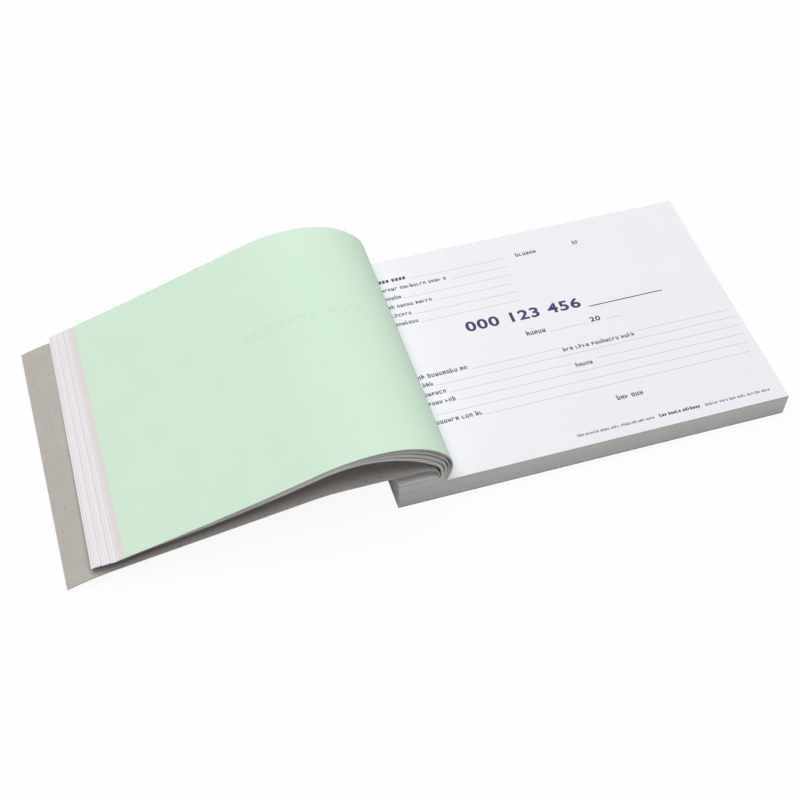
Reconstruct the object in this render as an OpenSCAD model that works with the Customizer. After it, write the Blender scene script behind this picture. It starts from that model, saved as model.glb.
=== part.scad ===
// Triplicate receipt book, lying open with its turned leaves rolled over the binding.
// The origin is the centre of the back cover's underside. +X points to the free edge of the pad,
// +Y along the spine to the head of the form, +Z up.

/* [Leaf] */
// Width of a leaf, from the spine to its free edge
page_w = 148; // [140:1:160]
// Depth of a leaf, along the spine
page_d = 105; // [90:1:120]
// Thickness of one leaf
leaf_t = 0.075; // [0.06:0.005:0.1]

/* [Pad] */
// Whole sets that lie in the pad under the current one
sets_below = 39; // [20:1:45]
// Air between neighbouring sets that lie flat
set_air = 0.015; // [0.01:0.005:0.03]
// Thickness of the board of both covers
board_t = 0.4; // [0.3:0.05:0.6]

/* [Binding] */
// Distance from the spine to the perforation
stub_w = 15; // [13:0.5:18]
// Slit that the perforation leaves between a stub and its slip
perforation_gap = 0.1; // [0.05:0.05:0.2]
// Distance from the spine to the middle of the staple wire
staple_inset = 7; // [5:0.5:9]
// Distance between the middles of the two staples
staple_pitch = 56; // [40:1:64]
// Length of a staple's crown
staple_crown = 12; // [10:0.5:14]
// Width of the flat staple wire
wire_w = 0.6; // [0.4:0.1:0.8]
// Length of a staple leg's end, bent over under the back cover
clinch = 4; // [3:0.5:4.5]
// Room for the wire in each hole, on every side
wire_clearance = 0.05; // [0.03:0.01:0.1]

/* [Turned leaves] */
// Angle at which the turned leaves rise from their folds
leaf_lean = 78; // [74:1:84]
// Straight rise of the innermost set before it bends
leaf_rise = 1.9; // [0.5:0.1:3]
// Bend radius of the innermost set where it turns over to the left
shoulder_r = 8.1; // [7:0.1:12]
// Angle turned in that bend
shoulder_angle = 60; // [50:1:66]
// Bend radius of the innermost set along the crown of the roll
crown_r = 39.8; // [34:0.1:44]
// Bend radius from the crown to the free ends, where the leaves flatten again
tail_r = 1600; // [1000:100:3000]
// Air between neighbouring turned layers where they lie close
leaf_air = 0.03; // [0.03:0.005:0.1]
// How many times further apart the layers stand on the crown
crown_looseness = 2.1; // [1:0.1:2.6]
// Air under the last turned leaf, which lifts by itself
last_air = 0.05; // [0.05:0.05:0.2]
// Air between the innermost set and the cover where it comes to rest
resting_air = 0.3; // [0.2:0.1:1]
// Air between the end of a stub and its folded leaf
fold_air = 0.05; // [0.03:0.01:0.1]

/* [Front cover] */
// Angle at which the folded cover rises from its score line
cover_lean = 80; // [76:1:95]
// Bend radius of the cover where it folds back over its stub
cover_fold_r = 5; // [4:0.1:5.5]
// Bend radius where the cover starts to slope down
cover_knee_r = 65; // [40:5:90]
// Slope of the cover on its way down to the table
cover_slope = 10.5; // [9:0.5:13]
// Bend radius near the cover's free edge
cover_heel_r = 85; // [60:5:120]
// Further slope gained before the free edge meets the table
cover_heel_angle = 12; // [8:0.5:13]
// Air between the folded cover and the innermost set
cover_air = 0.3; // [0.2:0.05:0.5]

/* [Hidden] */

// Colours as the photograph shows them
white_paper = [0.91, 0.91, 0.95];
pink_paper = [0.94, 0.83, 0.84];
green_paper = [0.81, 0.91, 0.83];
grey_board = [0.70, 0.69, 0.67];
bright_wire = [0.75, 0.76, 0.78];

// A set is three leaves. Nine whole sets lie under the three leaves of the last turned set.
set_t = 3 * leaf_t;
set_pitch = set_t + set_air;
whole_turned = 9;
// The clinched wire is pressed flush into the board
wire_t = board_t;
// Largest angle between two points of a bend
bend_step_angle = 2;

// Heights at the binding, from the table up
current_z = board_t + sets_below * set_pitch;
page_z = current_z + set_t;
turned_top_z = page_z + (whole_turned + 1) * set_pitch;
binding_top_z = turned_top_z + board_t;

// Turned layers from the innermost outwards: the whole sets, then the leaves of the last set
layer_t = concat([for (i = [1 : whole_turned]) set_t], [leaf_t, leaf_t, leaf_t]);
last_original = whole_turned;
last_duplicate = whole_turned + 1;
last_triplicate = whole_turned + 2;

// Bent sheets: a path is a list of [length, turn] stretches, and a state on it is
// [x, z, heading, way] with the way gone from the start of the path.
// A stretch without turn is straight, and a positive turn bends to the left.
function arc_length(r, turn) = r * turn * PI / 180;
function sum(values, i = 0) = i == len(values) ? 0 : values[i] + sum(values, i + 1);
function path_length(path) = sum([for (stretch = path) stretch[0]]);
function ahead(s, length, turn) =
    let (way = s[3] + length)
    turn == 0
    ? [s.x + length * cos(s.z), s.y + length * sin(s.z), s.z, way]
    : let (r = length / (turn * PI / 180), heading = s.z + turn)
      [s.x + r * (sin(heading) - sin(s.z)), s.y + r * (cos(s.z) - cos(heading)), heading, way];
function after(s, path, i = 0) =
    i == len(path) ? s : after(ahead(s, path[i][0], path[i][1]), path, i + 1);
function along(s, path, i = 0) = i == len(path) ? [s] :
    let (steps = ceil(max(1, abs(path[i][1]) / bend_step_angle)))
    concat(
        [for (j = [0 : steps - 1]) ahead(s, path[i][0] * j / steps, path[i][1] * j / steps)],
        along(ahead(s, path[i][0], path[i][1]), path, i + 1));
// Point at a distance to the right of a state, which is the outside of a left bend
function beside(s, distance) = [s.x + distance * sin(s.z), s.y - distance * cos(s.z)];
// Beginning of a line of states, cut off at a length
function cut_off(line, length, i = 1) =
    i == len(line) ? [line[i - 1]] :
    let (step = norm([line[i].x - line[i - 1].x, line[i].y - line[i - 1].y]))
    step >= length
    ? [line[i - 1], line[i - 1] + (line[i] - line[i - 1]) * length / step]
    : concat([line[i - 1]], cut_off(line, length - step, i + 1));

// Path of the innermost set, whose whole length from the spine is the page's width
function bends(slope) = [
    [leaf_rise, 0],
    [arc_length(shoulder_r, shoulder_angle), shoulder_angle],
    let (crown_angle = 180 + slope - leaf_lean - shoulder_angle)
    [arc_length(crown_r, crown_angle), crown_angle]];
function inner_path(slope) =
    let (rest = page_w - stub_w - path_length(bends(slope)))
    concat(bends(slope), [[rest, -rest / arc_length(tail_r, 1)]]);

// Heights of the stubs, from the innermost set's down
function air_over_stub(i) = i > last_original ? 0 : set_air;
function stub_z(i) =
    i == 0 ? turned_top_z - layer_t[0] : stub_z(i - 1) - air_over_stub(i) - layer_t[i];
first_root = [stub_w, stub_z(0) + layer_t[0] / 2, leaf_lean, 0];

// Path of the front cover, from its score line back over its stub and down to the table
cover_root = [
    first_root.x - (board_t / 2 + cover_air + set_t / 2) / sin(leaf_lean),
    turned_top_z + board_t / 2, cover_lean, 0];
cover_end_slope = cover_slope + cover_heel_angle;
cover_crest_z = cover_root.y + cover_fold_r * (cos(cover_lean) + 1);
cover_drop = cover_crest_z - board_t / 2 * cos(cover_end_slope)
    - cover_knee_r * (1 - cos(cover_slope))
    - cover_heel_r * (cos(cover_slope) - cos(cover_end_slope));
cover_fold = [arc_length(cover_fold_r, 180 - cover_lean), 180 - cover_lean];
cover_way_down = [
    [arc_length(cover_knee_r, cover_slope), cover_slope],
    [cover_drop / sin(cover_slope), 0],
    [arc_length(cover_heel_r, cover_heel_angle), cover_heel_angle]];
cover_flat = page_w - cover_root.x - cover_fold[0] - path_length(cover_way_down);
cover_line = along(cover_root, concat([cover_fold, [cover_flat, 0]], cover_way_down));
cover_face = [for (s = cover_line) beside(s, board_t / 2)];

// Slope at which the innermost set comes to rest on the cover, found by halving
function least_air(slope) =
    let (face = [for (s = along(first_root, inner_path(slope))) beside(s, -set_t / 2)])
    let (tip_x = face[len(face) - 1].x)
    min(concat(
        [for (p = face) if (p.x < 0) p.y - lookup(p.x, cover_face)],
        [for (p = cover_face) if (p.x < 0 && p.x > tip_x) lookup(p.x, face) - p.y]));
function resting_slope(low, high, rounds) = let (middle = (low + high) / 2)
    rounds == 0 ? middle
    : least_air(middle) > resting_air ? resting_slope(middle, high, rounds - 1)
    : resting_slope(low, middle, rounds - 1);
flattest = 5;
steepest = 35;
leaf_slope = resting_slope(flattest, steepest, 24);

// Lines of the turned layers. Each one keeps its distance outside the innermost set, drawn out
// over the bends, where the stack stands loose, and closed again where the bends end.
inner_line = along(first_root, inner_path(leaf_slope));
bends_length = path_length(bends(leaf_slope));
function looseness(way) = way > bends_length ? 1
    : 1 + (crown_looseness - 1) * pow(sin(180 * way / bends_length), 2);
function air_under(i) = i == last_triplicate ? last_air : leaf_air;
function layer_offset(i) =
    i == 0 ? 0 : layer_offset(i - 1) + layer_t[i - 1] / 2 + air_under(i) + layer_t[i] / 2;
function layer_state(s, i) =
    let (place = beside(s, layer_offset(i) * looseness(s[3]))) [place.x, place.y, s.z, s[3]];
function root(i) =
    let (start = layer_state(inner_line[1], i), z = stub_z(i) + layer_t[i] / 2)
    [start.x - (start.y - z) / tan(leaf_lean), z, leaf_lean, 0];
function layer_line(i) = cut_off(
    concat([root(i)], [for (j = [1 : len(inner_line) - 1]) layer_state(inner_line[j], i)]),
    page_w - root(i).x);

// Places a shape whose X is measured from the spine
module from_spine() {
    translate([-page_w / 2, 0, 0]) children();
}

// Middles of the four staple legs
module at_staple_legs() {
    for (side = [-1, 1], end = [-1, 1])
        translate([staple_inset, side * staple_pitch / 2 + end * (staple_crown - wire_t) / 2])
            children();
}

module wire_hole() {
    square([wire_w + 2 * wire_clearance, wire_t + 2 * wire_clearance], center = true);
}

// Flat sheet between two distances from the spine, with holes for the staples
module bound_sheet(from_x, to_x, z, thickness) {
    from_spine() translate([0, 0, z]) linear_extrude(thickness)
        difference() {
            translate([from_x, -page_d / 2]) square([to_x - from_x, page_d]);
            at_staple_legs() wire_hole();
        }
}

// Sheet bent along a line of states, as deep as the page
module bent_sheet(line, thickness) {
    from_spine() rotate([90, 0, 0]) linear_extrude(page_d, center = true)
        polygon(concat(
            [for (s = line) beside(s, thickness / 2)],
            [for (i = [len(line) - 1 : -1 : 0]) beside(line[i], -thickness / 2)]));
}

module turned_layer(i) {
    bent_sheet(layer_line(i), layer_t[i]);
}

module turned_stub(i) {
    bound_sheet(0, root(i).x - layer_t[i] / 2 - fold_air, stub_z(i), layer_t[i]);
}

// Flat wire, bent to a crown, two legs and two ends that point to each other under the board
module staple() {
    height = binding_top_z + wire_t;
    corner_r = wire_t;
    end_gap = staple_crown - 2 * clinch;
    rotate([90, 0, 90]) linear_extrude(wire_w, center = true)
        difference() {
            union() {
                translate([corner_r - staple_crown / 2, 0])
                    square([staple_crown - 2 * corner_r, height]);
                translate([-staple_crown / 2, corner_r])
                    square([staple_crown, height - 2 * corner_r]);
                for (y = [-1, 1] * (staple_crown / 2 - corner_r), z = [corner_r, height - corner_r])
                    translate([y, z]) circle(corner_r, $fn = 32);
            }
            translate([wire_t - staple_crown / 2, wire_t])
                square([staple_crown - 2 * wire_t, binding_top_z - wire_t]);
            translate([-end_gap / 2, -wire_t]) square([end_gap, 3 * wire_t]);
        }
}

module back_cover() {
    // The clinched ends lie in slots that they have pressed through the board
    slot_w = wire_w + 2 * wire_clearance;
    slot_l = clinch + 2 * wire_clearance;
    color(grey_board) from_spine() linear_extrude(board_t)
        difference() {
            translate([0, -page_d / 2]) square([page_w, page_d]);
            for (side = [-1, 1], end = [-1, 1])
                translate([staple_inset, side * staple_pitch / 2 + end * (staple_crown - clinch) / 2])
                    square([slot_w, slot_l], center = true);
        }
}

module remaining_sets() {
    color(white_paper) for (i = [0 : sets_below - 1])
        bound_sheet(0, page_w, board_t + set_air + i * set_pitch, set_t);
}

module current_triplicate_leaf() {
    color(green_paper) bound_sheet(0, page_w, current_z, leaf_t);
}

module current_duplicate_stub() {
    color(pink_paper) bound_sheet(0, stub_w, current_z + leaf_t, leaf_t);
}

module current_original_stub() {
    color(white_paper) bound_sheet(0, stub_w, current_z + 2 * leaf_t, leaf_t);
}

module current_duplicate_slip() {
    color(pink_paper) bound_sheet(stub_w + perforation_gap, page_w, current_z + leaf_t, leaf_t);
}

module current_original_slip() {
    color(white_paper) bound_sheet(stub_w + perforation_gap, page_w, current_z + 2 * leaf_t, leaf_t);
}

module turned_set_stubs() {
    color(white_paper) for (i = [0 : whole_turned - 1]) turned_stub(i);
}

module turned_set(number) {
    color(white_paper) turned_layer(number - 1);
}

module last_original_stub() {
    color(white_paper) turned_stub(last_original);
}

module last_duplicate_stub() {
    color(pink_paper) turned_stub(last_duplicate);
}

module last_triplicate_stub() {
    color(green_paper) turned_stub(last_triplicate);
}

module last_original_leaf() {
    color(white_paper) turned_layer(last_original);
}

module last_duplicate_leaf() {
    color(pink_paper) turned_layer(last_duplicate);
}

module last_triplicate_leaf() {
    color(green_paper) turned_layer(last_triplicate);
}

module front_cover_stub() {
    color(grey_board) bound_sheet(0, cover_root.x - board_t / 2 - fold_air, turned_top_z, board_t);
}

module front_cover() {
    color(grey_board) bent_sheet(cover_line, board_t);
}

module staples() {
    color(bright_wire) from_spine() for (side = [-1, 1])
        translate([staple_inset, side * staple_pitch / 2, 0]) staple();
}

back_cover();
remaining_sets();
current_triplicate_leaf();
current_duplicate_stub();
current_original_stub();
turned_set_stubs();
last_triplicate_stub();
last_duplicate_stub();
last_original_stub();
front_cover_stub();
staples();
current_duplicate_slip();
current_original_slip();
front_cover();
turned_set(1);  // turned_set_1
turned_set(2);  // turned_set_2
turned_set(3);  // turned_set_3
turned_set(4);  // turned_set_4
turned_set(5);  // turned_set_5
turned_set(6);  // turned_set_6
turned_set(7);  // turned_set_7
turned_set(8);  // turned_set_8
turned_set(9);  // turned_set_9
last_original_leaf();
last_duplicate_leaf();
last_triplicate_leaf();
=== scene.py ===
"""Receipt book lying open: its papers, boards, print and staples, in a plain studio."""

import logging
import math
import random
from collections.abc import Sequence
from dataclasses import dataclass
from enum import Enum

import bpy
import numpy as np
from bpy.types import Material, Mesh, Node, NodeSocket, NodeTree, Object
from mathutils import Matrix, Vector


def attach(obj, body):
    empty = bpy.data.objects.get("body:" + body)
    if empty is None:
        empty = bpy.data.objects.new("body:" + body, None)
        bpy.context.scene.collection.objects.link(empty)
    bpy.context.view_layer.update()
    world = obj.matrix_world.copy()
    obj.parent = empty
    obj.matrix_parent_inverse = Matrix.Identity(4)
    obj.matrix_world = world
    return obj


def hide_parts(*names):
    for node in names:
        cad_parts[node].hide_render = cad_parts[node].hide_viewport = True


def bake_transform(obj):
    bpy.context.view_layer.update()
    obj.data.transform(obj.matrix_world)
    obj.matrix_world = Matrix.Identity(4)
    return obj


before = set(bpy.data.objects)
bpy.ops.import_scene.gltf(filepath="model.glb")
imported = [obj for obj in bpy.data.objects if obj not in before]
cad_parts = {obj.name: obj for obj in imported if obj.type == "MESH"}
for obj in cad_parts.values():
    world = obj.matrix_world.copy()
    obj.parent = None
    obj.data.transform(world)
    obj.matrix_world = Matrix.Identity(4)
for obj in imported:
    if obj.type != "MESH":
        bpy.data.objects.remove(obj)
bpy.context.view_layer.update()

LOG = logging.getLogger("receipt_book")
MM = 0.001
PATH_STEP = 0.2
Pair = tuple[float, float]
Triple = tuple[float, float, float]
Colour = Triple
Bar = tuple[float, float, float, float]


def tone(red: float, green: float, blue: float) -> Colour:
    """Turns a colour as it shows on a screen into the linear one that a shader takes.

    The numbers in it are those of the sRGB curve.

    Args:
        red: Red, from 0 to 255.
        green: Green, from 0 to 255.
        blue: Blue, from 0 to 255.

    Returns:
        The linear colour.
    """
    shares = (value / 255 for value in (red, green, blue))
    return tuple(s / 12.92 if s <= 0.04045 else ((s + 0.055) / 1.055) ** 2.4 for s in shares)


class Paper(Enum):
    """The three leaves of a set, by the material slot of their paper."""

    ORIGINAL = "white_paper"
    DUPLICATE = "pink_paper"
    TRIPLICATE = "green_paper"


PaperLooks = dict[Paper, Material]


class Lining(Enum):
    """The face of a flat board that carries the white lining."""

    TOP = 1.0
    UNDERSIDE = -1.0


@dataclass(frozen=True)
class Grain:
    """A noise pattern in a finish, and where it brings in a second colour.

    Attributes:
        scale: Cells per metre.
        low: Noise at which the second colour starts.
        high: Noise at which it has its full share.
        share: That full share.
        detail: Octaves of the noise.
        roughness: Strength of the finer octaves.
        stretch: Factor on the scale along each axis.
    """

    scale: float
    low: float
    high: float
    share: float = 1.0
    detail: float = 3.0
    roughness: float = 0.55
    stretch: Triple = (1.0, 1.0, 1.0)


@dataclass
class Graph:
    """The nodes of a material or of the sky while they are put together."""

    tree: NodeTree

    def node(self, kind: str, inputs: dict | None = None, **settings: object) -> Node:
        """Adds a node.

        Args:
            kind: Blender's name of the node type.
            inputs: Values or sockets for its inputs, by name or number.
            **settings: Values for its own properties.

        Returns:
            The new node.
        """
        made = self.tree.nodes.new(kind)
        for key, value in settings.items():
            setattr(made, key, value)
        for key, value in (inputs or {}).items():
            self.feed(value, made.inputs[key])
        return made

    def feed(self, value: object, target: NodeSocket) -> None:
        """Links a socket to an input, or sets the input to a value.

        Args:
            value: A socket or a plain value.
            target: The input.
        """
        if isinstance(value, NodeSocket):
            self.tree.links.new(value, target)
        elif target.type == "RGBA":
            target.default_value = (*value, 1.0)
        else:
            target.default_value = value


class Recipe(Graph):
    """A material's nodes round a Principled shader."""

    def __init__(self, name: str, roughness: float, specular: float = 0.3) -> None:
        """Starts the material.

        Args:
            name: Name of the material.
            roughness: Roughness of the whole surface.
            specular: Specular level of the whole surface.
        """
        self.material = bpy.data.materials.new(name)
        self.material.use_nodes = True
        super().__init__(self.material.node_tree)
        self.shader = self.tree.nodes["Principled BSDF"]
        self.shader.inputs["Roughness"].default_value = roughness
        self.shader.inputs["Specular IOR Level"].default_value = specular

    def noise(self, grain: Grain, place: NodeSocket | None = None) -> NodeSocket:
        """Adds a grain's noise.

        Args:
            grain: The grain.
            place: Coordinates that it reads, if not the object's own.

        Returns:
            The noise, around one half.
        """
        if place is None:
            own = self.node("ShaderNodeTexCoord").outputs["Object"]
            mapping = self.node("ShaderNodeMapping", {"Vector": own, "Scale": grain.stretch})
            place = mapping.outputs[0]
        inputs = {"Vector": place, "Scale": grain.scale, "Detail": grain.detail,
                  "Roughness": grain.roughness}
        return self.node("ShaderNodeTexNoise", inputs).outputs[0]

    def spread(self, value: NodeSocket, low: float, high: float, share: float = 1.0) -> NodeSocket:
        """Maps a number from a range to one that starts at zero, and holds it there.

        Args:
            value: The number.
            low: Start of its range.
            high: End of its range.
            share: Result at the end.

        Returns:
            The mapped number.
        """
        inputs = {"Value": value, "From Min": low, "From Max": high, "To Max": share}
        return self.node("ShaderNodeMapRange", inputs).outputs[0]

    def mix(self, share: object, first: object, second: object) -> NodeSocket:
        """Mixes two colours, with the share of the second one."""
        inputs = {0: share, 6: first, 7: second}
        return self.node("ShaderNodeMix", inputs, data_type="RGBA").outputs[2]

    def tint(self, first: object, second: Colour, grain: Grain,
             noise: NodeSocket | None = None) -> NodeSocket:
        """Brings a second colour into a first one where a grain's noise is high.

        Args:
            first: The first colour.
            second: The second colour.
            grain: The grain.
            noise: The grain's noise, if it is there already.

        Returns:
            The mixed colour.
        """
        pattern = self.noise(grain) if noise is None else noise
        share = self.spread(pattern, grain.low, grain.high, grain.share)
        return self.mix(share, first, second)

    def relief(self, height: NodeSocket, strength: float, depth: float) -> None:
        """Gives the surface a fine relief.

        Args:
            height: Pattern of the relief.
            strength: How much of it shows.
            depth: Its depth in metres.
        """
        inputs = {"Strength": strength, "Distance": depth, "Height": height}
        self.feed(self.node("ShaderNodeBump", inputs).outputs[0], self.shader.inputs["Normal"])

    def done(self, colour: NodeSocket) -> Material:
        """Links the surface's colour and gives the finished material."""
        self.feed(colour, self.shader.inputs["Base Color"])
        return self.material


@dataclass(frozen=True)
class Ghost:
    """Print that shows faintly through: its place on the flat leaf in metres, and its share."""

    start: float
    end: float
    low: float
    high: float
    share: float


@dataclass(frozen=True)
class PaperFinish:
    """Uncoated paper with faint clouds and fibres."""

    name: str
    colour: Colour
    shade: Colour
    clouds: Grain = Grain(70.0, 0.35, 0.7, 0.15, detail=2.0)
    fibres: Grain = Grain(1500.0, 0.4, 0.75, 0.2, detail=5.0, roughness=0.7)
    ghosts: tuple[Ghost, ...] = ()
    ghost_colour: Colour = (0.0, 0.0, 0.0)
    ghost_strokes: Grain = Grain(430.0, 0.45, 0.62, detail=1.0)
    ghost_blur: float = 0.8 * MM

    def material(self) -> Material:
        """Makes the paper's material.

        Returns:
            The material.
        """
        recipe = Recipe(self.name, roughness=0.88, specular=0.2)
        fibres = recipe.noise(self.fibres)
        surface = recipe.tint(self.colour, self.shade, self.clouds)
        surface = recipe.tint(surface, self.shade, self.fibres, fibres)
        if self.ghosts:
            flat = recipe.node("ShaderNodeAttribute", attribute_name="flat_place")
            axes = recipe.node("ShaderNodeSeparateXYZ", {0: flat.outputs["Vector"]})
            for ghost in self.ghosts:
                surface = recipe.mix(self.ghost_mask(recipe, axes, ghost), surface,
                                     self.ghost_colour)
        recipe.relief(fibres, strength=0.05, depth=0.04 * MM)
        return recipe.done(surface)

    def ghost_mask(self, recipe: Recipe, axes: Node, ghost: Ghost) -> NodeSocket:
        """Makes the mask of one faint row.

        Args:
            recipe: Nodes of the material.
            axes: Way along the leaf, and depth along the spine.
            ghost: The row.

        Returns:
            The share of ghost colour.
        """
        way, depth = axes.outputs[0], axes.outputs[1]
        place = recipe.node("ShaderNodeCombineXYZ", {0: way, 1: depth}).outputs[0]
        strokes = recipe.noise(self.ghost_strokes, place)
        share = recipe.spread(strokes, self.ghost_strokes.low, self.ghost_strokes.high)
        for factor in (recipe.spread(way, ghost.start, ghost.start + self.ghost_blur),
                       recipe.spread(way, ghost.end, ghost.end - self.ghost_blur),
                       recipe.spread(depth, ghost.low, ghost.low + self.ghost_blur),
                       recipe.spread(depth, ghost.high, ghost.high - self.ghost_blur),
                       ghost.share):
            share = recipe.node("ShaderNodeMath", {0: share, 1: factor},
                                operation="MULTIPLY").outputs[0]
        return share


@dataclass(frozen=True)
class BlockFinish:
    """Cut edges of a block of leaves, with fine streaks along every leaf."""

    name: str = "cut_leaf_edges"
    light: Colour = tone(236, 235, 236)
    dark: Colour = tone(205, 203, 201)
    pink: Colour = tone(236, 216, 216)
    green: Colour = tone(212, 226, 212)
    paleness: float = 0.72
    papers: Grain = Grain(1.0, 0.42, 0.58, detail=2.0, stretch=(3.0, 3.0, 2600.0))
    leaves: Grain = Grain(1.0, 0.38, 0.68, 0.75, detail=4.0, roughness=0.75,
                          stretch=(9.0, 9.0, 5200.0))
    bundles: Grain = Grain(1.0, 0.45, 0.72, 0.5, stretch=(5.0, 5.0, 900.0))

    def material(self) -> Material:
        """Makes the material of the cut edges.

        Returns:
            The material.
        """
        recipe = Recipe(self.name, roughness=0.9, specular=0.15)
        leaves = recipe.noise(self.leaves)
        surface = recipe.tint(self.pink, self.green, self.papers)
        surface = recipe.mix(self.paleness, surface, self.light)
        surface = recipe.tint(surface, self.dark, self.leaves, leaves)
        surface = recipe.tint(surface, self.dark, self.bundles)
        recipe.relief(leaves, strength=0.35, depth=0.08 * MM)
        return recipe.done(surface)


@dataclass(frozen=True)
class BoardFinish:
    """Grey board from recycled fibres, and its white lining."""

    name: str = "grey_board"
    colour: Colour = tone(186, 180, 174)
    fleck: Colour = tone(150, 142, 134)
    pale: Colour = tone(204, 199, 193)
    lining: Colour = tone(238, 238, 238)
    lining_shade: Colour = tone(226, 226, 226)
    lining_turn: Pair = (0.4, 0.6)
    mottle: Grain = Grain(180.0, 0.35, 0.7, 0.25, detail=4.0)
    strands: Grain = Grain(900.0, 0.5, 0.75, 0.3, detail=5.0, roughness=0.7,
                           stretch=(1.0, 3.2, 3.2))
    flecks: Grain = Grain(620.0, 0.7, 0.78, 0.7, detail=1.0)

    def fibres(self, recipe: Recipe) -> NodeSocket:
        """Mixes the board's mottled grey.

        Args:
            recipe: Nodes of the material.

        Returns:
            The colour.
        """
        strands = recipe.noise(self.strands)
        surface = recipe.tint(self.colour, self.pale, self.mottle)
        surface = recipe.tint(surface, self.fleck, self.strands, strands)
        surface = recipe.tint(surface, self.fleck, self.flecks)
        recipe.relief(strands, strength=0.3, depth=0.06 * MM)
        return surface

    def material(self) -> Material:
        """Makes the material of the board's bare grey face."""
        recipe = Recipe(self.name, roughness=0.92, specular=0.15)
        return recipe.done(self.fibres(recipe))

    def lining_material(self) -> Material:
        """Makes the material of the white lining alone."""
        return PaperFinish("white_lining", self.lining, self.lining_shade).material()

    def lined_material(self, lined: Lining) -> Material:
        """Makes the material of a flat board with one white face.

        Args:
            lined: The white face.

        Returns:
            The material.
        """
        recipe = Recipe(f"{self.name}_lined_{lined.name.lower()}", roughness=0.8, specular=0.2)
        normal = recipe.node("ShaderNodeTexCoord").outputs["Normal"]
        height = recipe.node("ShaderNodeSeparateXYZ", {0: normal}).outputs[2]
        white = recipe.spread(height, *(turn * lined.value for turn in self.lining_turn))
        return recipe.done(recipe.mix(white, self.fibres(recipe), self.lining))


@dataclass(frozen=True)
class InkFinish:
    """Dark blue printing ink, a little uneven where the paper drinks it."""

    name: str = "form_ink"
    colour: Colour = tone(62, 58, 104)
    thin: Colour = tone(100, 98, 136)
    patches: Grain = Grain(2200.0, 0.45, 0.75, 0.6)

    def material(self) -> Material:
        """Makes the ink's material."""
        recipe = Recipe(self.name, roughness=0.7, specular=0.25)
        return recipe.done(recipe.tint(self.colour, self.thin, self.patches))


@dataclass(frozen=True)
class WireFinish:
    """Bright zinc on stitching wire, drawn lengthwise."""

    name: str = "stitching_wire"
    colour: Colour = tone(205, 207, 210)
    dull: Colour = tone(160, 162, 166)
    marks: Grain = Grain(1.0, 0.4, 0.7, stretch=(9000.0, 300.0, 300.0))

    def material(self) -> Material:
        """Makes the wire's material.

        Returns:
            The material.
        """
        recipe = Recipe(self.name, roughness=0.34)
        recipe.shader.inputs["Metallic"].default_value = 1.0
        marks = recipe.noise(self.marks)
        recipe.relief(marks, strength=0.2, depth=0.02 * MM)
        return recipe.done(recipe.tint(self.colour, self.dull, self.marks, marks))


GREEN = tone(211, 235, 215)
GREEN_SHADE = tone(199, 226, 203)
PAPERS = {
    Paper.ORIGINAL: PaperFinish("white_paper", tone(239, 238, 243), tone(229, 228, 234)),
    Paper.DUPLICATE: PaperFinish("pink_paper", tone(228, 220, 219), tone(216, 206, 205)),
    Paper.TRIPLICATE: PaperFinish("green_paper", GREEN, GREEN_SHADE)}
GHOSTS = (
    Ghost(0.028, 0.074, 0.0615, 0.0662, 0.08), Ghost(0.077, 0.107, 0.0605, 0.0612, 0.08),
    Ghost(0.049, 0.057, 0.053, 0.055, 0.07), Ghost(0.003, 0.030, 0.0885, 0.090, 0.05),
    Ghost(0.003, 0.022, 0.0315, 0.033, 0.05), Ghost(0.070, 0.081, 0.0155, 0.0172, 0.06))
SHOWN_PAPER = PaperFinish("green_paper_with_show_through", GREEN, GREEN_SHADE, ghosts=GHOSTS,
                          ghost_colour=tone(120, 150, 140))
RULE_INK = InkFinish("rule_ink", tone(168, 168, 188), tone(186, 186, 202))
EDGE_CLOUDS = Grain(70.0, 0.35, 0.7, 0.8, detail=2.0)
EDGE_SHADE = 0.88
# Cut-edge colours in two copies: a lighter one for the inner sets, which paints light on their edges,
# and a darker one for the outer sets, which paints the shade under the top leaf.
LIT_INNER_EDGES = ((250, 247, 240), (247, 240, 235), (240, 243, 233))
SHADED_OUTER_EDGES = ((232, 230, 225), (224, 212, 208), (194, 207, 188))


def edge_materials(label: str, colours: Sequence[Colour]) -> PaperLooks:
    """Makes the materials of the leaves' cut edges.

    Args:
        label: Which leaves they are for.
        colours: Colour of each paper's edge as it shows on a screen.

    Returns:
        The material for each paper.
    """
    return {paper: PaperFinish(f"{label}_{paper.value}_edge", tone(*colour),
                               tone(*(EDGE_SHADE * value for value in colour)),
                               EDGE_CLOUDS).material()
            for paper, colour in zip(Paper, colours)}


@dataclass(frozen=True)
class Book:
    """Sizes that all the sub-assemblies share, in millimetres."""

    page_w: float = 148.0
    page_d: float = 105.0
    leaf_t: float = 0.075
    set_t: float = 0.225
    set_air: float = 0.015
    board_t: float = 0.4
    page_z: float = 9.985
    turned_top_z: float = 12.385
    whole_turned: int = 9

    def spot(self, x: float, y: float, z: float) -> Vector:
        """Gives a point of the frame from distances to the spine, front edge and table."""
        return Vector(((x - self.page_w / 2) * MM, (y - self.page_d / 2) * MM, z * MM))


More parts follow.
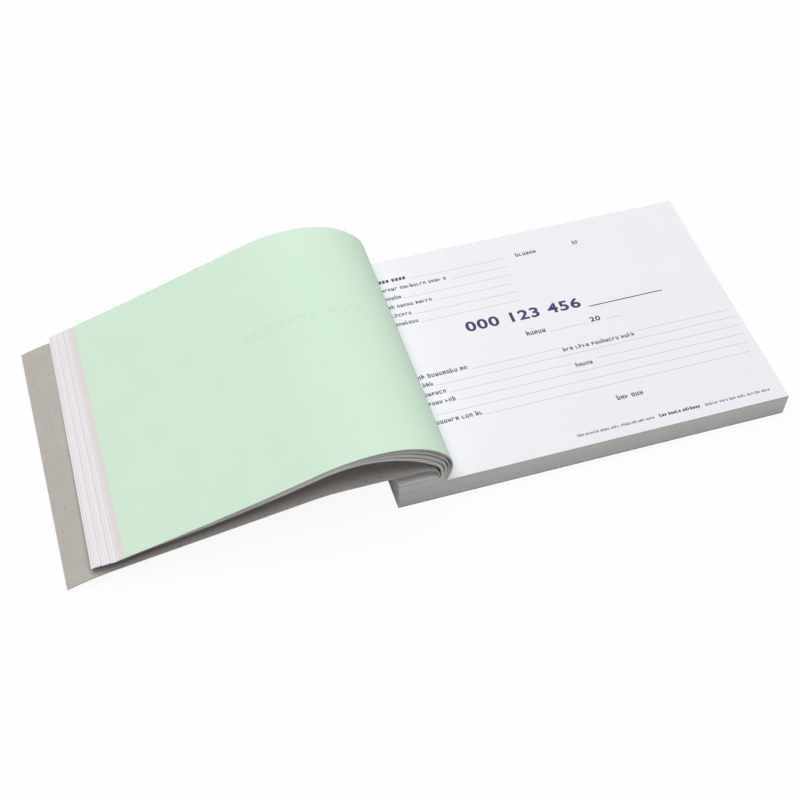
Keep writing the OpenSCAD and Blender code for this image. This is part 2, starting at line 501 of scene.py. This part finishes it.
@dataclass(frozen=True)
class Line:
    """Centre line of a bent sheet, seen along the spine, in millimetres and radians."""

    x: np.ndarray
    z: np.ndarray
    heading: np.ndarray

    def ways(self) -> np.ndarray:
        """Gives the way gone at each point."""
        steps = np.hypot(np.diff(self.x), np.diff(self.z))
        return np.concatenate(([0.0], np.cumsum(steps)))

    def beside(self, distance: np.ndarray | float) -> "Line":
        """Gives the line at a distance outside the bends."""
        return Line(self.x + distance * np.sin(self.heading),
                    self.z - distance * np.cos(self.heading), self.heading)

    def from_point(self, x: float, z: float) -> "Line":
        """Puts a point before the line's first one."""
        return Line(np.insert(self.x, 0, x), np.insert(self.z, 0, z),
                    np.insert(self.heading, 0, self.heading[0]))

    def toward(self, other: "Line", share: np.ndarray) -> "Line":
        """Gives a line that lies between this one and another."""
        return Line(*(mine + share * (theirs - mine) for mine, theirs in (
            (self.x, other.x), (self.z, other.z), (self.heading, other.heading))))

    def at(self, way: np.ndarray) -> "Line":
        """Gives the line's points at some ways."""
        ways = self.ways()
        return Line(*(np.interp(way, ways, part) for part in (self.x, self.z, self.heading)))


def follow(x: float, z: float, heading: float, stretches: Sequence[Pair]) -> Line:
    """Follows a path of straight and bent stretches.

    Args:
        x: Distance of its start from the spine.
        z: Height of its start.
        heading: Heading at its start, in degrees.
        stretches: Length and turn to the left, in degrees, of each stretch.

    Returns:
        The path as a line of close points, PATH_STEP millimetres apart or less.
    """
    xs, zs, headings = [x], [z], [math.radians(heading)]
    for length, turn in stretches:
        count = max(2, math.ceil(length / PATH_STEP))
        for _ in range(count):
            middle = headings[-1] + math.radians(turn) / count / 2
            xs.append(xs[-1] + length / count * math.cos(middle))
            zs.append(zs[-1] + length / count * math.sin(middle))
            headings.append(headings[-1] + math.radians(turn) / count)
    return Line(np.array(xs), np.array(zs), np.array(headings))


def arc(radius: float, turn: float) -> Pair:
    """Gives a bend's length and turn."""
    return radius * math.radians(turn), turn


def joined(name: str, pieces: Sequence[Object]) -> Object:
    """Joins objects to one piece.

    Args:
        name: Name of the piece.
        pieces: The objects.

    Returns:
        The piece.
    """
    bpy.ops.object.select_all(action="DESELECT")
    for piece in pieces:
        piece.select_set(True)
    bpy.context.view_layer.objects.active = pieces[0]
    if len(pieces) > 1:
        bpy.ops.object.join()
    piece = bpy.context.view_layer.objects.active
    piece.name = piece.data.name = name
    return piece


@dataclass
class BentSheet:
    """One sheet between a front and a back line, from a flat grid to its finished thickness.

    Attributes:
        columns: Ways along the lines at which the grid has points.
        reach: How much further its free edge reaches, at the front and at the back.
        drift: How far its free edge has slipped along the spine.
        bends_end: Way from which reach and drift set in.
    """

    book: Book
    front: Line
    back: Line
    columns: np.ndarray
    thickness: float
    reach: Pair = (0.0, 0.0)
    drift: float = 0.0
    rows: int = 12
    bends_end: float = 44.0
    smooth_angle: float = 35.0

    def mesh(self, name: str, materials: Sequence[Material]) -> Object:
        """Builds the sheet.

        Args:
            name: Name of the object.
            materials: Of its face outside the bends, its face inside them and its rim.

        Returns:
            The finished object.
        """
        bpy.ops.mesh.primitive_grid_add(x_subdivisions=len(self.columns) - 1,
                                        y_subdivisions=self.rows, size=1.0)
        sheet = bpy.context.active_object
        sheet.name = sheet.data.name = name
        for material in materials:
            sheet.data.materials.append(material)
        self.lay(sheet.data)
        thickness = sheet.modifiers.new("thickness", "SOLIDIFY")
        thickness.thickness = self.thickness * MM
        thickness.offset = 0.0
        thickness.material_offset = 1
        thickness.material_offset_rim = 2
        bpy.ops.object.modifier_apply(modifier=thickness.name)
        bpy.ops.object.shade_smooth_by_angle(angle=math.radians(self.smooth_angle))
        return sheet

    def lay(self, mesh: Mesh) -> None:
        """Moves the flat grid's points between the two lines.

        Args:
            mesh: The grid, of unit size.
        """
        flat = np.empty(len(mesh.vertices) * 3)
        mesh.vertices.foreach_get("co", flat)
        along = flat[0::3] + 0.5
        across = 0.5 - flat[1::3]
        way = np.interp(along, np.linspace(0.0, 1.0, len(self.columns)), self.columns)
        share = np.clip((way - self.bends_end) / (self.columns[-1] - self.bends_end), 0.0, 1.0)
        way = way + share * (self.reach[0] + across * (self.reach[1] - self.reach[0]))
        depth = across * self.book.page_d + self.drift * share ** 2
        spots = self.front.at(way).toward(self.back.at(way), depth / self.book.page_d)
        places = np.column_stack(((spots.x - self.book.page_w / 2) * MM,
                                  (depth - self.book.page_d / 2) * MM, spots.z * MM))
        mesh.vertices.foreach_set("co", places.astype(np.float32).ravel())
        flat_place = mesh.attributes.new("flat_place", "FLOAT_VECTOR", "POINT")
        flat_place.data.foreach_set("vector", np.column_stack(
            (way * MM, depth * MM, 0.0 * way)).astype(np.float32).ravel())
        mesh.update()


@dataclass
class FoldZone:
    """Where sheets bend: planes across a tilted direction, at which pad, cover and leaves take hold."""

    book: Book
    tilt: float = 20.0
    root: float = 6.9
    cover: float = 10.4
    leaves: float = 19.0

    def direction(self) -> Pair:
        """Gives the direction from the roots into the roll."""
        return -math.sin(math.radians(self.tilt)), math.cos(math.radians(self.tilt))

    def height(self, line: Line) -> np.ndarray:
        """Gives how far a line's points lie along that direction."""
        x, z = self.direction()
        return line.x * x + line.z * z

    def span(self, start: float, end: float) -> tuple[Vector, Vector]:
        """Gives a point on each of two of the planes.

        Args:
            start: Height of the first plane.
            end: Height of the second plane.

        Returns:
            The two points.
        """
        x, z = self.direction()
        middle = self.book.page_d / 2
        return (self.book.spot(start * x, middle, start * z),
                self.book.spot(end * x, middle, end * z))


@dataclass
class FoldedCover:
    """The front cover, folded back and down to the table, in millimetres and degrees."""

    book: Book
    zone: FoldZone
    root_x: float = 14.3738
    lean: float = 80.0
    fold_r: float = 5.0
    flat: float = 28.6059
    knee_r: float = 65.0
    slope: float = 10.5
    heel_r: float = 85.0
    heel_angle: float = 10.7
    overhang: Pair = (0.9, 0.7)
    fold_columns: tuple[float, float, int] = (0.0, 9.0, 28)
    flat_start: float = 11.0
    flat_columns: int = 60

    def line(self) -> Line:
        """Gives the cover's centre line.

        Returns:
            The line from its fold on.
        """
        bends = [arc(self.fold_r, 180.0 - self.lean), (self.flat, 0.0),
                 arc(self.knee_r, self.slope), arc(self.heel_r, self.heel_angle)]
        straight = self.book.page_w - self.root_x - sum(length for length, _ in bends)
        return follow(self.root_x, self.book.turned_top_z + self.book.board_t / 2, self.lean,
                      [*bends[:3], (straight, 0.0), bends[3], (max(self.overhang), 0.0)])

    def build(self, board: BoardFinish) -> list[Object]:
        """Builds the cover and hides the front_cover node that it stands in for.

        Args:
            board: Finish of the board.

        Returns:
            The piece.
        """
        line = self.line()
        end = self.book.page_w - self.root_x
        columns = np.concatenate((np.linspace(*self.fold_columns),
                                  np.linspace(self.flat_start, end, self.flat_columns)))
        grey = board.material()
        piece = BentSheet(self.book, line, line, columns, self.book.board_t, self.overhang).mesh(
            "front_cover_board", [grey, board.lining_material(), grey])
        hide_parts("front_cover")
        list(self.zone.span(self.zone.root, self.zone.cover))
        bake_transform(piece)
        return [piece]


@dataclass(frozen=True)
class RollProfile:
    """Profile of the roll at one of its ends, in millimetres and degrees.

    Attributes:
        rise: Length of the innermost set's straight start.
        slope: Its slope down from the crown.
        tail_turn: Turn of its long tail.
        looseness: Factor on the layers' distance over the crown.
        onset: How soon the layers part, sooner below one.
        root_x: Distance of its start from the spine.
        lean: Heading at its start.
        spare: Length added for free edges that reach further.
    """

    rise: float
    shoulder_r: float
    shoulder_angle: float
    crown_r: float
    slope: float
    tail_turn: float
    looseness: float
    onset: float = 0.7
    root_x: float = 15.0
    lean: float = 78.0
    spare: float = 8.0

    def leaf_line(self, book: Book, close: float, loose: float, root: Pair) -> Line:
        """Gives one leaf's centre line.

        Args:
            book: Sizes of the book.
            close: Distance outside the innermost set where the layers lie close.
            loose: The same over the crown, before it is drawn out.
            root: Where the leaf starts at its fold.

        Returns:
            The line from its fold on, longer than the leaf.
        """
        crown_angle = 180.0 + self.slope - self.lean - self.shoulder_angle
        bends = [(self.rise, 0.0), arc(self.shoulder_r, self.shoulder_angle),
                 arc(self.crown_r, crown_angle)]
        bends_length = sum(length for length, _ in bends)
        tail = book.page_w - self.root_x - bends_length
        drawn_out = (tail + self.spare) / tail
        path = follow(self.root_x, book.turned_top_z - book.set_t / 2, self.lean,
                      [*bends, (tail * drawn_out, self.tail_turn * drawn_out)])
        ways = path.ways()
        hump = np.sin(np.pi * np.clip(ways / bends_length, 0.0, 1.0) ** self.onset) ** 2
        line = path.beside(close + hump * (loose * self.looseness - close))
        start = int(np.searchsorted(ways, self.rise))
        return Line(line.x[start:], line.z[start:], line.heading[start:]).from_point(*root)


@dataclass
class LeafPlan:
    """Where one turned leaf lies in the stack, and how far its free edge reaches."""

    name: str
    paper: Paper
    close: float
    loose: float
    root: Pair
    reach: Pair


@dataclass
class TurnedLeaves:
    """The turned sets, rolled over the binding leaf by leaf, in millimetres.

    Attributes:
        hinge: The leaves' common hinge, from the spine and the table.
        root_slant: Run of the folds' roots for each millimetre of height.
        set_pitch: Step from set to set where they lie close.
        last_offsets: Distances of the last set's leaves outside the innermost set.
        duplicate_trims: How much further than usual each set's duplicate reaches.
        inner_reach: Reach of the innermost leaf, at the front and at the back.
        room: Shares of the sets in the height of the crown.
        least_pitch: Step from leaf to leaf over the crown where they lie close.
        slips: Slip along the spine of the first and the last set's free edges.
        uneven: Greatest chance difference in that slip, as trim_noise is in the reach.
        root_points: Points of a line in which the end of its root is sought.
    """

    book: Book
    zone: FoldZone
    front: RollProfile = RollProfile(
        rise=0.305, shoulder_r=8.43, shoulder_angle=60.299, crown_r=40.077, slope=19.682,
        tail_turn=-7.433, looseness=2.499, onset=0.58)
    back: RollProfile = RollProfile(
        rise=2.026, shoulder_r=9.132, shoulder_angle=57.98, crown_r=38.948, slope=20.491,
        tail_turn=-1.5, looseness=1.99)
    hinge: Pair = (17.064, 10.0375)
    root_slant: float = 0.9235
    set_pitch: float = 0.266
    leaf_steps: Triple = (0.0, 0.096, 0.181)
    last_offsets: Triple = (2.32, 2.415, 2.51)
    duplicate_trims: tuple[float, ...] = (0.0, -0.3, -0.35, 0.55, -0.3, -0.35, 0.5, -0.3, 0.6)
    triplicate_trim: float = -0.6
    last_trims: Triple = (0.0, 0.27, -1.58)
    trim_noise: float = 0.1
    inner_reach: Pair = (-0.3, 1.9)
    outer_reach: Pair = (2.6, 4.3)
    room: tuple[float, ...] = (0.7, 0.6, 0.6, 2.0, 0.6, 0.6, 2.0, 0.65, 2.0)
    least_pitch: float = 0.042
    slips: Pair = (2.1, -0.4)
    uneven: float = 0.3
    # Sets whose edges take the lighter copy with painted light; the rest take the darker copy with
    # painted shade.
    lit_edge_sets: int = 5
    fold_end: float = 16.0
    bends_span: Pair = (17.0, 63.0)
    tail_start: float = 65.5
    column_counts: tuple[int, int, int] = (36, 47, 26)
    strip_columns: int = 8
    root_points: int = 40
    seed: int = 7

    def plans(self) -> list[list[LeafPlan]]:
        """Plans the leaves of every turned set.

        Returns:
            The plans of each set's leaves, from the innermost set out.
        """
        dice = random.Random(self.seed)
        inside, outside = -self.book.leaf_t, self.last_offsets[0]
        spread = (outside - inside) / sum(self.room)
        base, top, sets = inside, self.book.turned_top_z, []
        for number in range(self.book.whole_turned + 1):
            last = number == self.book.whole_turned
            room = 0.0 if last else self.room[number] * spread
            trims = self.last_trims if last else (
                0.0, self.duplicate_trims[number], self.triplicate_trim)
            share = (base - inside) / (outside - inside)
            leaves = []
            for i, paper in enumerate(Paper):
                if last:
                    name = f"last_{paper.name.lower()}"
                    close = loose = self.last_offsets[i]
                else:
                    name = f"set_{number + 1}_{i + 1}"
                    close = inside + number * self.set_pitch + self.leaf_steps[i]
                    gap = room - len(Paper) * self.least_pitch if i else 0.0
                    loose = base + gap + i * self.least_pitch
                trim = trims[i] + dice.uniform(-self.trim_noise, self.trim_noise)
                reach = tuple(a + share * (b - a) + trim
                              for a, b in zip(self.inner_reach, self.outer_reach))
                root_z = top - (i + 0.5) * self.book.leaf_t
                root_x = self.hinge[0] - self.root_slant * (root_z - self.hinge[1])
                leaves.append(LeafPlan(name, paper, close, loose, (root_x, root_z), reach))
            sets.append(leaves)
            base += room
            top -= self.book.set_t + self.book.set_air
        return sets

    def leaf(self, plan: LeafPlan, materials: Sequence[Material],
             drift: float) -> tuple[Object, Object]:
        """Builds one leaf and the strip in which it folds.

        Args:
            plan: Its place.
            materials: Its outside, its inside and its cut edges.
            drift: How far its free edge has slipped along the spine.

        Returns:
            The leaf and its strip.
        """
        front, back = (profile.leaf_line(self.book, plan.close, plan.loose, plan.root)
                       for profile in (self.front, self.back))
        end = self.book.page_w - front.x[0]
        near = slice(self.root_points)
        parted = float(np.interp(self.zone.cover, self.zone.height(front)[near],
                                 front.ways()[near]))
        fold, bends, tail = self.column_counts
        columns = np.concatenate((np.linspace(parted, self.fold_end, fold),
                                  np.linspace(*self.bends_span, bends),
                                  np.linspace(self.tail_start, end, tail)))
        leaf = BentSheet(self.book, front, back, columns, self.book.leaf_t, plan.reach,
                         drift).mesh(f"{plan.name}_sheet", materials)
        strip = BentSheet(self.book, front, back, np.linspace(0.0, parted, self.strip_columns),
                          self.book.leaf_t).mesh(f"{plan.name}_fold", materials)
        return leaf, strip

    def build(self, papers: PaperLooks, shown: Material, lit_inner_edges: PaperLooks,
              shaded_outer_edges: PaperLooks) -> list[Object]:
        """Builds all the turned leaves.

        Args:
            papers: Material of each paper.
            shown: Material of the last leaf's outside, which lies on top.
            lit_inner_edges: Material of each paper's cut edges in the inner sets, a lighter copy that
                paints light on them.
            shaded_outer_edges: The same in the outer sets, a darker copy that paints the shade under
                the top leaf.

        Returns:
            The pieces.
        """
        dice = random.Random(self.seed + 1)
        *whole, last = self.plans()
        pieces, strips = [], []
        slips = np.linspace(*self.slips, len(whole) + 1)
        for number, plans in enumerate(whole):
            # Inner sets take the lighter edge copy (painted light), outer sets the darker one (painted
            # shade).
            edges = lit_inner_edges if number < self.lit_edge_sets else shaded_outer_edges
            made = [self.leaf(plan, [papers[plan.paper], papers[plan.paper], edges[plan.paper]],
                              slips[number] + dice.uniform(-self.uneven, self.uneven))
                    for plan in plans]
            piece = joined(f"turned_set_{number + 1}_leaves", [leaf for leaf, _ in made])
            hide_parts(f"turned_set_{number + 1}")
            pieces.append(piece)
            strips += [strip for _, strip in made]
        for plan in last:
            on_top = plan.paper is Paper.TRIPLICATE
            inside = papers[plan.paper]
            # The last set's edges take the darker copy, painted shade under the top leaf.
            look = [shown if on_top else inside, inside, shaded_outer_edges[plan.paper]]
            leaf, strip = self.leaf(plan, look, slips[-1])
            if on_top:
                leaf = joined("last_triplicate_sheet", [leaf, strip])
                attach(leaf, "last_leaf")
            else:
                strips.append(strip)
            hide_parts(f"{plan.name}_leaf")
            pieces.append(leaf)
        for piece in pieces[:-1]:
            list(self.zone.span(self.zone.cover, self.zone.leaves))
            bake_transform(piece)
        folds = joined("turned_leaf_folds", strips)
        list(self.zone.span(self.zone.root, self.zone.cover))
        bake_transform(folds)
        return [*pieces, folds]


@dataclass(frozen=True)
class Row:
    """A printed row of the form: its ends, its height on the page, its size and its weight."""

    start: float
    end: float
    y: float
    size: float
    weight: float = 0.17


@dataclass(frozen=True)
class SignStyle:
    """Plain signs that stand for letters: chances, and shares of their row's size."""

    lift_mm: float = 0.25
    width: float = 0.5
    low_height: float = 0.7
    pitch: float = 0.66
    word_pitch: float = 1.05
    word_signs: tuple[int, int] = (3, 8)
    tall_chance: float = 0.2
    second_stem_chance: float = 0.7
    bar_levels: tuple[float, ...] = (0.0, 0.5, 1.0)
    bar_counts: tuple[int, ...] = (1, 1, 2)


@dataclass
class PrintedForm:
    """The form on the current original: rules, plain marks where words stand, and numbers."""

    book: Book
    style: SignStyle = SignStyle()
    ink_t: float = 0.012
    bar_bevel: float = 0.08
    digit_weight: float = 0.03
    digit_spacing: float = 1.12
    digit_resolution: int = 4
    digit_stretch: float = 1.25
    rules: tuple[Row, ...] = (
        Row(34.0, 72.5, 93.4, 0.15), Row(49.5, 73.0, 88.9, 0.15), Row(28.5, 72.5, 84.4, 0.15),
        Row(40.5, 72.0, 80.0, 0.15), Row(30.0, 71.5, 75.6, 0.15), Row(31.5, 71.0, 71.2, 0.15),
        Row(75.8, 91.5, 53.2, 0.15), Row(98.6, 105.3, 53.2, 0.15), Row(42.0, 76.5, 44.4, 0.16),
        Row(107.5, 144.8, 44.4, 0.16), Row(27.0, 145.8, 40.6, 0.16), Row(30.8, 78.0, 36.2, 0.16),
        Row(87.8, 145.5, 36.2, 0.16), Row(32.8, 145.5, 31.9, 0.16), Row(22.0, 145.0, 27.6, 0.16),
        Row(39.5, 144.2, 23.2, 0.16))
    heavy_rules: tuple[Row, ...] = (Row(94.5, 125.0, 60.8, 0.45),)
    captions: tuple[Row, ...] = (
        Row(20.0, 32.8, 93.4, 2.2, 0.24), Row(20.0, 48.3, 88.9, 2.0), Row(20.0, 27.7, 84.4, 2.0),
        Row(20.0, 39.6, 80.0, 2.0), Row(20.0, 29.0, 75.6, 2.0), Row(20.0, 30.6, 71.2, 2.0),
        Row(77.1, 85.5, 92.6, 2.2), Row(101.0, 104.5, 92.6, 2.2), Row(66.9, 74.8, 53.2, 2.4),
        Row(20.0, 41.0, 44.4, 2.2), Row(77.2, 106.5, 42.2, 2.1), Row(22.2, 26.0, 40.6, 2.0),
        Row(20.0, 29.8, 36.2, 2.1), Row(78.9, 86.8, 34.0, 2.1), Row(20.0, 32.0, 31.9, 2.1),
        Row(20.0, 38.8, 23.2, 2.2), Row(87.5, 98.6, 15.4, 2.4),
        Row(67.5, 98.0, 4.0, 1.3), Row(99.0, 116.0, 4.0, 1.5, 0.24), Row(117.0, 143.3, 4.0, 1.3))
    numbers: tuple[tuple[str, Row], ...] = (
        ("000 123 456", Row(46.2, 93.0, 61.6, 6.5)), ("20", Row(92.4, 98.0, 53.3, 3.1)))
    seed: int = 3

    def rule_bars(self, rows: Sequence[Row]) -> list[Bar]:
        """Plans ruled lines as bars."""
        return [(row.start, row.end, row.y - row.size / 2, row.y + row.size / 2) for row in rows]

    def sign_bars(self, x: float, row: Row, tall: bool, dice: random.Random) -> list[Bar]:
        """Plans one sign of a caption, which stands for a letter without being one.

        Args:
            x: Its left side.
            row: Its row.
            tall: Whether it has the full height.
            dice: Source of its shape.

        Returns:
            Its stems and the bars between them.
        """
        style = self.style
        low, right, weight = row.y + style.lift_mm, x + style.width * row.size, row.weight * row.size
        height = style.low_height * row.size
        bars = [(x, x + weight, low, low + (row.size if tall else height))]
        closed = dice.random() < style.second_stem_chance
        if closed:
            bars.append((right - weight, right, low, low + height))
        for level in dice.sample(style.bar_levels, dice.choice(style.bar_counts)):
            base = low + level * (height - weight)
            bars.append((x + weight, right - (weight if closed else 0.0), base, base + weight))
        return bars

    def caption_bars(self) -> list[Bar]:
        """Plans all the captions as rows of signs.

        Returns:
            The bars of all the signs.
        """
        dice = random.Random(self.seed)
        style = self.style
        drawn: list[Bar] = []
        for row in self.captions:
            x, left, tall = row.start, dice.randint(*style.word_signs), True
            while x + style.width * row.size <= row.end:
                drawn += self.sign_bars(x, row, tall, dice)
                left -= 1
                x += row.size * (style.pitch if left else style.word_pitch)
                left = left or dice.randint(*style.word_signs)
                tall = dice.random() < style.tall_chance
        return drawn

    def bar_master(self, ink: Material) -> Object:
        """Models the one bar, with its upright edges taken off, that all the print copies.

        Args:
            ink: Material of the print.

        Returns:
            The bar, of unit size.
        """
        bpy.ops.mesh.primitive_cube_add(size=1.0)
        bar = bpy.context.active_object
        bpy.ops.object.mode_set(mode="EDIT")
        bpy.ops.mesh.select_all(action="DESELECT")
        bpy.ops.object.mode_set(mode="OBJECT")
        for edge in bar.data.edges:
            low, high = (bar.data.vertices[i].co for i in edge.vertices)
            edge.select = abs(low.z - high.z) > 0.5
        bpy.ops.object.mode_set(mode="EDIT")
        bpy.ops.mesh.select_mode(type="EDGE")
        bpy.ops.mesh.bevel(offset=self.bar_bevel, segments=1)
        bpy.ops.object.mode_set(mode="OBJECT")
        bar.data.materials.append(ink)
        return bar

    def stamp(self, name: str, bars: Sequence[Bar], ink: Material) -> Object:
        """Copies one bar to every place and joins the copies.

        Args:
            name: Name of the piece.
            bars: Low and high x, and low and high y, of every bar.
            ink: Material of the print.

        Returns:
            The printed piece.
        """
        master = self.bar_master(ink)
        copies = []
        for low_x, high_x, low_y, high_y in bars:
            spot = self.book.spot((low_x + high_x) / 2, (low_y + high_y) / 2, self.book.page_z)
            size = ((high_x - low_x) * MM, (high_y - low_y) * MM, self.ink_t * MM, 1.0)
            copy = master.copy()
            copy.data = master.data.copy()
            copy.data.transform(Matrix.Translation(spot) @ Matrix.Diagonal(size))
            bpy.context.scene.collection.objects.link(copy)
            copies.append(copy)
        bpy.data.objects.remove(master)
        return joined(name, copies)

    def number(self, digits: str, row: Row, ink: Material) -> Object:
        """Sets a plain number.

        Args:
            digits: The number.
            row: Its place and size.
            ink: Material of the print.

        Returns:
            The number as a mesh.
        """
        bpy.ops.object.text_add()
        number = bpy.context.active_object
        number.data.body = digits
        number.data.size = row.size * MM
        number.data.offset = self.digit_weight * row.size * MM
        number.data.space_character = self.digit_spacing
        number.data.extrude = self.ink_t / 2 * MM
        number.data.resolution_u = self.digit_resolution
        bpy.ops.object.convert(target="MESH")
        spot = self.book.spot(row.start, row.y, self.book.page_z)
        spread = min(self.digit_stretch, (row.end - row.start) * MM / number.dimensions.x)
        number.data.transform(Matrix.Translation(spot) @ Matrix.Diagonal((spread, 1, 1, 1)))
        number.data.materials.append(ink)
        return number

    def build(self, ink: InkFinish, rule_ink: InkFinish) -> list[Object]:
        """Prints the form.

        Args:
            ink: Finish of the captions and numbers.
            rule_ink: Finish of the thin rules.

        Returns:
            The pieces.
        """
        dark, pale = ink.material(), rule_ink.material()
        pieces = [
            self.stamp("form_rules", self.rule_bars(self.rules), pale),
            self.stamp("form_captions", self.caption_bars() + self.rule_bars(self.heavy_rules),
                       dark),
            joined("form_numbers", [self.number(digits, row, dark)
                                    for digits, row in self.numbers])]
        for piece in pieces:
            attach(piece, "current_original")
        return pieces


@dataclass
class BoundBlock:
    """The pad, the stubs and the staples, whose solids only get their finish here."""

    board: BoardFinish
    block: BlockFinish = BlockFinish()
    wire: WireFinish = WireFinish()

    def build(self, papers: PaperLooks) -> list[Object]:
        """Finishes all the solids.

        Args:
            papers: Material of each paper.

        Returns:
            The nodes' objects.
        """
        edges = self.block.material()
        white, pink, green = (papers[paper] for paper in Paper)
        finishes = {
            "remaining_sets": edges, "turned_set_stubs": edges,
            "current_original_slip": white, "current_original_stub": white,
            "last_original_stub": white, "current_duplicate_slip": pink,
            "current_duplicate_stub": pink, "last_duplicate_stub": pink,
            "current_triplicate_leaf": green, "last_triplicate_stub": green,
            "back_cover": self.board.lined_material(Lining.UNDERSIDE),
            "front_cover_stub": self.board.lined_material(Lining.TOP),
            "staples": self.wire.material()}
        pieces = []
        for name, material in finishes.items():
            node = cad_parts[name]
            for slot in node.material_slots:
                slot.material = material
            pieces.append(node)
        return pieces


@dataclass
class Studio:
    """Camera, floor and soft light, in metres and watts, with the lens in millimetres."""

    eye: Triple = (-0.166663, -0.314199, 0.41209)
    right: Triple = (0.953366, -0.300803, 0.024704)
    up: Triple = (0.221658, 0.753369, 0.619115)
    lens: float = 64.382
    sensor: float = 36.0
    clip: Pair = (0.01, 20.0)
    sky: float = 0.1
    floor_size: float = 8.0
    floor_z: float = -0.0003
    floor_grey: float = 0.8
    floor_pale: float = 0.9
    floor_white: float = 0.93
    aim: Triple = (-0.03, 0.0, 0.0)
    key_power: float = 4.6
    key_place: Triple = (-0.22, 0.62, 1.1)
    key_size: float = 0.9
    top_power: float = 13.0
    top_place: Triple = (-0.05, 0.0, 1.2)
    top_size: float = 1.2

    def build(self) -> None:
        """Sets up the whole studio."""
        self.add_camera()
        self.add_floor()
        self.add_sky()
        self.add_lamp("key_light", self.key_place, self.key_size, self.key_power)
        self.add_lamp("top_light", self.top_place, self.top_size, self.top_power)
        bpy.context.scene.view_settings.view_transform = "Standard"

    def add_camera(self) -> None:
        """Puts the camera at the photograph's viewpoint."""
        camera = bpy.data.objects.new("camera", bpy.data.cameras.new("camera"))
        right, up = Vector(self.right).normalized(), Vector(self.up).normalized()
        turn = Matrix((right, up, right.cross(up))).transposed().to_4x4()
        camera.matrix_world = Matrix.Translation(self.eye) @ turn
        camera.data.lens, camera.data.sensor_width = self.lens, self.sensor
        camera.data.clip_start, camera.data.clip_end = self.clip
        bpy.context.scene.collection.objects.link(camera)
        bpy.context.scene.camera = camera

    def add_lamp(self, name: str, place: Triple, size: float, power: float) -> None:
        """Adds a square soft lamp that shines on the book.

        Args:
            name: Name of the lamp.
            place: Where it hangs.
            size: Side of the square.
            power: Power in watts.
        """
        lamp = bpy.data.objects.new(name, bpy.data.lights.new(name, "AREA"))
        lamp.data.energy, lamp.data.size = power, size
        lamp.location = place
        lamp.rotation_mode = "QUATERNION"
        beam = Vector(self.aim) - Vector(place)
        lamp.rotation_quaternion = beam.to_track_quat("-Z", "Y")
        bpy.context.scene.collection.objects.link(lamp)

    def add_floor(self) -> None:
        """Lays a floor that lights the book as a grey one and looks nearly white."""
        bpy.ops.mesh.primitive_plane_add(size=self.floor_size, location=(0.0, 0.0, self.floor_z))
        floor = bpy.context.active_object
        floor.name = "floor"
        recipe = Recipe("pale_floor", roughness=0.9)
        recipe.tree.nodes.remove(recipe.shader)
        grey = recipe.node("ShaderNodeBsdfDiffuse", {"Color": (self.floor_grey,) * 3})
        pale = recipe.node("ShaderNodeBsdfDiffuse", {"Color": (self.floor_pale,) * 3})
        white = recipe.node("ShaderNodeEmission", {"Color": (1.0, 1.0, 1.0)})
        shown = recipe.node("ShaderNodeMixShader",
                            {0: self.floor_white, 1: pale.outputs[0], 2: white.outputs[0]})
        both = recipe.node("ShaderNodeMixShader", {0: self.seen_rays(recipe),
                                                   1: grey.outputs[0], 2: shown.outputs[0]})
        recipe.feed(both.outputs[0], recipe.tree.nodes["Material Output"].inputs["Surface"])
        floor.data.materials.append(recipe.material)

    def seen_rays(self, graph: Graph) -> NodeSocket:
        """Tells the rays that show the background from those that light the book.

        Args:
            graph: Nodes of the floor or the sky.

        Returns:
            One for rays from the camera, from gloss or through glass.
        """
        path = graph.node("ShaderNodeLightPath")
        seen = path.outputs["Is Camera Ray"]
        for name in ("Is Glossy Ray", "Is Transmission Ray"):
            seen = graph.node("ShaderNodeMath", {0: seen, 1: path.outputs[name]},
                              operation="MAXIMUM").outputs[0]
        return seen

    def add_sky(self) -> None:
        """Surrounds the scene with a sky that looks white and lights the book only a little."""
        world = bpy.data.worlds.new("studio")
        world.use_nodes = True
        bpy.context.scene.world = world
        graph = Graph(world.node_tree)
        strength = graph.node("ShaderNodeMapRange",
                              {"Value": self.seen_rays(graph), "To Min": self.sky})
        sky = graph.tree.nodes["Background"]
        graph.feed((1.0, 1.0, 1.0), sky.inputs["Color"])
        graph.feed(strength.outputs[0], sky.inputs["Strength"])


def main() -> None:
    """Builds the studio and every sub-assembly, and reports the pieces."""
    logging.basicConfig(level=logging.INFO, format="%(message)s")
    book = Book()
    zone = FoldZone(book)
    board = BoardFinish()
    shown = SHOWN_PAPER.material()
    papers = {paper: finish.material() for paper, finish in PAPERS.items()}
    # Two copies of the edge colours: painted light on the inner sets, painted shade on the outer ones.
    lit_inner_edges = edge_materials("inner", LIT_INNER_EDGES)
    shaded_outer_edges = edge_materials("outer", SHADED_OUTER_EDGES)
    Studio().build()
    pieces = BoundBlock(board).build(papers)
    pieces += FoldedCover(book, zone).build(board)
    pieces += TurnedLeaves(book, zone).build(papers, shown, lit_inner_edges, shaded_outer_edges)
    pieces += PrintedForm(book).build(InkFinish(), RULE_INK)
    for piece in pieces:
        LOG.info("%s: %d faces", piece.name, len(piece.data.polygons))


if __name__ == "__main__":
    main()
